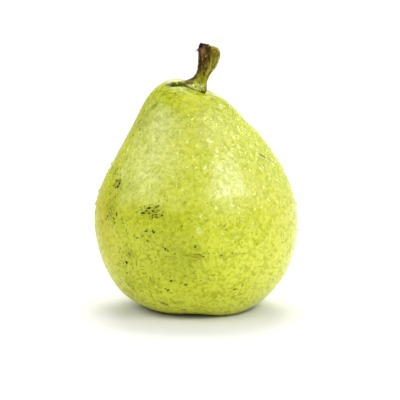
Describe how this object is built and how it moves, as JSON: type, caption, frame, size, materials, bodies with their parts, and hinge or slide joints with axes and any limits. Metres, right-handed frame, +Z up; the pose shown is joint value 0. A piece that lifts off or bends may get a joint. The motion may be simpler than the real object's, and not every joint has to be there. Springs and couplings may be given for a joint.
{
  "type": "pear",
  "caption": "Fresh green pear, as picked: rounded belly narrowing to a lopsided neck, short woody stem and a dried calyx under the base.",
  "frame": {"origin": "under the middle of the pear, level with the low lobes round the blossom end that it stands on", "axes": "+Z up from the blossom end to the stem, +X towards the side that the stem leans to, -X towards the high shoulder"},
  "size_m": [0.0762, 0.075, 0.0996],
  "materials": {
    "pear_skin": "yellow-green waxy fruit skin with fine lenticels and small russet marks, satin to slightly glossy",
    "stem_wood": "olive to dark brown living bark, wrinkled lengthways, matt",
    "dried_sepal": "dark brown dried leaf tissue, matt"
  },
  "bodies": {
    "root": {"fruit": "pear_skin", "stem": "stem_wood", "calyx": "dried_sepal"}
  },
  "joints": []
}
